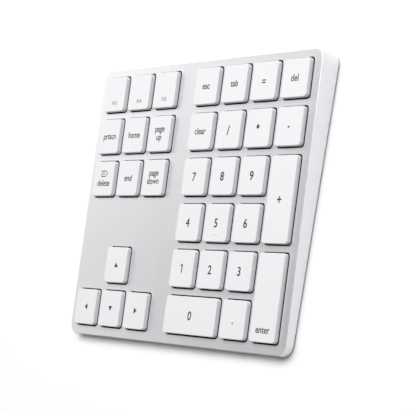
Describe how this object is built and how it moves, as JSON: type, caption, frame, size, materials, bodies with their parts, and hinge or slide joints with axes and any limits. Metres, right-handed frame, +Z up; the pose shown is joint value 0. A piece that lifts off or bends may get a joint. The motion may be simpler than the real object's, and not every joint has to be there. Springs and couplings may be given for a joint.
{
  "type": "numeric keypad",
  "caption": "Low wedge-shaped aluminium numeric keypad with a navigation key group on its left, white square keys that press down, tall plus and enter keys and a wide zero key.",
  "frame": {"origin": "on the table, under the middle of the case", "axes": "+X to the right along the case's width, +Y to the rear, +Z up; the deck rises 2.44 degrees to the rear"},
  "size_m": [0.15, 0.1182, 0.0112],
  "materials": {
    "case_aluminium": "fine bead-blasted, anodised silver",
    "key_plastic": "fine matt white",
    "legend_ink": "dark grey print",
    "legend_ink_light": "light grey print",
    "cover_plastic": "fine textured light grey",
    "plate_steel": "rolled, zinc plated",
    "wire_steel": "drawn wire",
    "scissor_plastic": "moulded black",
    "membrane_film": "printed polyester film",
    "dome_silicone": "matt black",
    "circuit_board": "green solder resist",
    "battery_wrap": "silver pouch foil",
    "shield_steel": "stamped, tin plated",
    "socket_plastic": "moulded ivory",
    "switch_plastic": "moulded black",
    "button_plastic": "satin white",
    "light_plastic": "clear moulded",
    "foot_rubber": "matt grey",
    "screw_steel": "plated"
  },
  "bodies": {
    "case": {"top_case": "case_aluminium", "bottom_cover": "cover_plastic", "switch_plate": "plate_steel", "membrane_circuit": "membrane_film", "dome_sheet": "dome_silicone", "main_board": "circuit_board", "battery": "battery_wrap", "radio_module": "shield_steel", "tail_connector": "socket_plastic", "usb_c_receptacle": "shield_steel", "power_switch_body": "switch_plastic", "pairing_switch": "switch_plastic", "status_light_pipe": "light_plastic", "foot_front_left": "foot_rubber", "screw_front_left": "screw_steel", "foot_front_right": "foot_rubber", "screw_front_right": "screw_steel", "foot_rear_left": "foot_rubber", "screw_rear_left": "screw_steel", "foot_rear_right": "foot_rubber", "screw_rear_right": "screw_steel"},
    "power_switch_slider": {"power_switch_slider": "button_plastic"},
    "pairing_button": {"pairing_button": "button_plastic"},
    "key_plus": {"key_plus": "key_plastic"},
    "key_enter": {"key_enter": "key_plastic"},
    "key_0": {"key_0": "key_plastic"},
    "key_point": {"key_point": "key_plastic"},
    "key_up": {"key_up": "key_plastic"},
    "key_escape": {"key_escape": "key_plastic"},
    "key_tab": {"key_tab": "key_plastic"},
    "key_equals": {"key_equals": "key_plastic"},
    "key_del": {"key_del": "key_plastic"},
    "key_clear": {"key_clear": "key_plastic"},
    "key_divide": {"key_divide": "key_plastic"},
    "key_multiply": {"key_multiply": "key_plastic"},
    "key_minus": {"key_minus": "key_plastic"},
    "key_7": {"key_7": "key_plastic"},
    "key_8": {"key_8": "key_plastic"},
    "key_9": {"key_9": "key_plastic"},
    "key_4": {"key_4": "key_plastic"},
    "key_5": {"key_5": "key_plastic"},
    "key_6": {"key_6": "key_plastic"},
    "key_1": {"key_1": "key_plastic"},
    "key_2": {"key_2": "key_plastic"},
    "key_3": {"key_3": "key_plastic"},
    "key_f13": {"key_f13": "key_plastic"},
    "key_f14": {"key_f14": "key_plastic"},
    "key_f15": {"key_f15": "key_plastic"},
    "key_print_screen": {"key_print_screen": "key_plastic"},
    "key_home": {"key_home": "key_plastic"},
    "key_page_up": {"key_page_up": "key_plastic"},
    "key_delete": {"key_delete": "key_plastic"},
    "key_end": {"key_end": "key_plastic"},
    "key_page_down": {"key_page_down": "key_plastic"},
    "key_left": {"key_left": "key_plastic"},
    "key_down": {"key_down": "key_plastic"},
    "key_right": {"key_right": "key_plastic"},
    "stabiliser_plus": {"stabiliser_plus": "wire_steel"},
    "stabiliser_enter": {"stabiliser_enter": "wire_steel"},
    "stabiliser_0": {"stabiliser_0": "wire_steel"}
  },
  "joints": [
    {"name": "power_switch_slide", "type": "slide", "parent": "case", "child": "power_switch_slider", "axis": [1, 0, 0], "range_m": [0, 0.003]},
    {"name": "pairing_button_press", "type": "slide", "parent": "case", "child": "pairing_button", "axis": [0, -1, 0], "range_m": [0, 0.0003], "stiffness_N_per_m": 1500, "springref_m": -0.0004},
    {"name": "key_plus_press", "type": "slide", "parent": "case", "child": "key_plus", "axis": [0, 0.0426, -0.9991], "range_m": [0, 0.0013], "stiffness_N_per_m": 250, "springref_m": -0.0008, "deforming": ["dome_sheet"]},
    {"name": "key_enter_press", "type": "slide", "parent": "case", "child": "key_enter", "axis": [0, 0.0426, -0.9991], "range_m": [0, 0.0013], "stiffness_N_per_m": 250, "springref_m": -0.0008, "deforming": ["dome_sheet"]},
    {"name": "key_0_press", "type": "slide", "parent": "case", "child": "key_0", "axis": [0, 0.0426, -0.9991], "range_m": [0, 0.0013], "stiffness_N_per_m": 250, "springref_m": -0.0008, "deforming": ["dome_sheet"]},
    {"name": "key_point_press", "type": "slide", "parent": "case", "child": "key_point", "axis": [0, 0.0426, -0.9991], "range_m": [0, 0.0013], "stiffness_N_per_m": 250, "springref_m": -0.0008, "deforming": ["dome_sheet"]},
    {"name": "key_up_press", "type": "slide", "parent": "case", "child": "key_up", "axis": [0, 0.0426, -0.9991], "range_m": [0, 0.0013], "stiffness_N_per_m": 250, "springref_m": -0.0008, "deforming": ["dome_sheet"]},
    {"name": "key_escape_press", "type": "slide", "parent": "case", "child": "key_escape", "axis": [0, 0.0426, -0.9991], "range_m": [0, 0.0013], "stiffness_N_per_m": 250, "springref_m": -0.0008, "deforming": ["dome_sheet"]},
    {"name": "key_tab_press", "type": "slide", "parent": "case", "child": "key_tab", "axis": [0, 0.0426, -0.9991], "range_m": [0, 0.0013], "stiffness_N_per_m": 250, "springref_m": -0.0008, "deforming": ["dome_sheet"]},
    {"name": "key_equals_press", "type": "slide", "parent": "case", "child": "key_equals", "axis": [0, 0.0426, -0.9991], "range_m": [0, 0.0013], "stiffness_N_per_m": 250, "springref_m": -0.0008, "deforming": ["dome_sheet"]},
    {"name": "key_del_press", "type": "slide", "parent": "case", "child": "key_del", "axis": [0, 0.0426, -0.9991], "range_m": [0, 0.0013], "stiffness_N_per_m": 250, "springref_m": -0.0008, "deforming": ["dome_sheet"]},
    {"name": "key_clear_press", "type": "slide", "parent": "case", "child": "key_clear", "axis": [0, 0.0426, -0.9991], "range_m": [0, 0.0013], "stiffness_N_per_m": 250, "springref_m": -0.0008, "deforming": ["dome_sheet"]},
    {"name": "key_divide_press", "type": "slide", "parent": "case", "child": "key_divide", "axis": [0, 0.0426, -0.9991], "range_m": [0, 0.0013], "stiffness_N_per_m": 250, "springref_m": -0.0008, "deforming": ["dome_sheet"]},
    {"name": "key_multiply_press", "type": "slide", "parent": "case", "child": "key_multiply", "axis": [0, 0.0426, -0.9991], "range_m": [0, 0.0013], "stiffness_N_per_m": 250, "springref_m": -0.0008, "deforming": ["dome_sheet"]},
    {"name": "key_minus_press", "type": "slide", "parent": "case", "child": "key_minus", "axis": [0, 0.0426, -0.9991], "range_m": [0, 0.0013], "stiffness_N_per_m": 250, "springref_m": -0.0008, "deforming": ["dome_sheet"]},
    {"name": "key_7_press", "type": "slide", "parent": "case", "child": "key_7", "axis": [0, 0.0426, -0.9991], "range_m": [0, 0.0013], "stiffness_N_per_m": 250, "springref_m": -0.0008, "deforming": ["dome_sheet"]},
    {"name": "key_8_press", "type": "slide", "parent": "case", "child": "key_8", "axis": [0, 0.0426, -0.9991], "range_m": [0, 0.0013], "stiffness_N_per_m": 250, "springref_m": -0.0008, "deforming": ["dome_sheet"]},
    {"name": "key_9_press", "type": "slide", "parent": "case", "child": "key_9", "axis": [0, 0.0426, -0.9991], "range_m": [0, 0.0013], "stiffness_N_per_m": 250, "springref_m": -0.0008, "deforming": ["dome_sheet"]},
    {"name": "key_4_press", "type": "slide", "parent": "case", "child": "key_4", "axis": [0, 0.0426, -0.9991], "range_m": [0, 0.0013], "stiffness_N_per_m": 250, "springref_m": -0.0008, "deforming": ["dome_sheet"]},
    {"name": "key_5_press", "type": "slide", "parent": "case", "child": "key_5", "axis": [0, 0.0426, -0.9991], "range_m": [0, 0.0013], "stiffness_N_per_m": 250, "springref_m": -0.0008, "deforming": ["dome_sheet"]},
    {"name": "key_6_press", "type": "slide", "parent": "case", "child": "key_6", "axis": [0, 0.0426, -0.9991], "range_m": [0, 0.0013], "stiffness_N_per_m": 250, "springref_m": -0.0008, "deforming": ["dome_sheet"]},
    {"name": "key_1_press", "type": "slide", "parent": "case", "child": "key_1", "axis": [0, 0.0426, -0.9991], "range_m": [0, 0.0013], "stiffness_N_per_m": 250, "springref_m": -0.0008, "deforming": ["dome_sheet"]},
    {"name": "key_2_press", "type": "slide", "parent": "case", "child": "key_2", "axis": [0, 0.0426, -0.9991], "range_m": [0, 0.0013], "stiffness_N_per_m": 250, "springref_m": -0.0008, "deforming": ["dome_sheet"]},
    {"name": "key_3_press", "type": "slide", "parent": "case", "child": "key_3", "axis": [0, 0.0426, -0.9991], "range_m": [0, 0.0013], "stiffness_N_per_m": 250, "springref_m": -0.0008, "deforming": ["dome_sheet"]},
    {"name": "key_f13_press", "type": "slide", "parent": "case", "child": "key_f13", "axis": [0, 0.0426, -0.9991], "range_m": [0, 0.0013], "stiffness_N_per_m": 250, "springref_m": -0.0008, "deforming": ["dome_sheet"]},
    {"name": "key_f14_press", "type": "slide", "parent": "case", "child": "key_f14", "axis": [0, 0.0426, -0.9991], "range_m": [0, 0.0013], "stiffness_N_per_m": 250, "springref_m": -0.0008, "deforming": ["dome_sheet"]},
    {"name": "key_f15_press", "type": "slide", "parent": "case", "child": "key_f15", "axis": [0, 0.0426, -0.9991], "range_m": [0, 0.0013], "stiffness_N_per_m": 250, "springref_m": -0.0008, "deforming": ["dome_sheet"]},
    {"name": "key_print_screen_press", "type": "slide", "parent": "case", "child": "key_print_screen", "axis": [0, 0.0426, -0.9991], "range_m": [0, 0.0013], "stiffness_N_per_m": 250, "springref_m": -0.0008, "deforming": ["dome_sheet"]},
    {"name": "key_home_press", "type": "slide", "parent": "case", "child": "key_home", "axis": [0, 0.0426, -0.9991], "range_m": [0, 0.0013], "stiffness_N_per_m": 250, "springref_m": -0.0008, "deforming": ["dome_sheet"]},
    {"name": "key_page_up_press", "type": "slide", "parent": "case", "child": "key_page_up", "axis": [0, 0.0426, -0.9991], "range_m": [0, 0.0013], "stiffness_N_per_m": 250, "springref_m": -0.0008, "deforming": ["dome_sheet"]},
    {"name": "key_delete_press", "type": "slide", "parent": "case", "child": "key_delete", "axis": [0, 0.0426, -0.9991], "range_m": [0, 0.0013], "stiffness_N_per_m": 250, "springref_m": -0.0008, "deforming": ["dome_sheet"]},
    {"name": "key_end_press", "type": "slide", "parent": "case", "child": "key_end", "axis": [0, 0.0426, -0.9991], "range_m": [0, 0.0013], "stiffness_N_per_m": 250, "springref_m": -0.0008, "deforming": ["dome_sheet"]},
    {"name": "key_page_down_press", "type": "slide", "parent": "case", "child": "key_page_down", "axis": [0, 0.0426, -0.9991], "range_m": [0, 0.0013], "stiffness_N_per_m": 250, "springref_m": -0.0008, "deforming": ["dome_sheet"]},
    {"name": "key_left_press", "type": "slide", "parent": "case", "child": "key_left", "axis": [0, 0.0426, -0.9991], "range_m": [0, 0.0013], "stiffness_N_per_m": 250, "springref_m": -0.0008, "deforming": ["dome_sheet"]},
    {"name": "key_down_press", "type": "slide", "parent": "case", "child": "key_down", "axis": [0, 0.0426, -0.9991], "range_m": [0, 0.0013], "stiffness_N_per_m": 250, "springref_m": -0.0008, "deforming": ["dome_sheet"]},
    {"name": "key_right_press", "type": "slide", "parent": "case", "child": "key_right", "axis": [0, 0.0426, -0.9991], "range_m": [0, 0.0013], "stiffness_N_per_m": 250, "springref_m": -0.0008, "deforming": ["dome_sheet"]},
    {"name": "stabiliser_plus_turn", "type": "hinge", "parent": "case", "child": "stabiliser_plus", "pos_m": [0.06335, 0.00035, 0.00579], "axis": [0, 0.9991, 0.0426], "range_deg": [0, 15.2]},
    {"name": "stabiliser_enter_turn", "type": "hinge", "parent": "case", "child": "stabiliser_enter", "pos_m": [0.06335, -0.03762, 0.00417], "axis": [0, 0.9991, 0.0426], "range_deg": [0, 15.2]},
    {"name": "stabiliser_0_turn", "type": "hinge", "parent": "case", "child": "stabiliser_0", "pos_m": [0.01475, -0.04601, 0.00381], "axis": [-1, 0, 0], "range_deg": [0, 15.2]}
  ],
  "couplings": [
    {"joint": "stabiliser_plus_turn", "follows": "key_plus_press", "rad_per_m": 202.65},
    {"joint": "stabiliser_enter_turn", "follows": "key_enter_press", "rad_per_m": 202.65},
    {"joint": "stabiliser_0_turn", "follows": "key_0_press", "rad_per_m": 202.65}
  ]
}
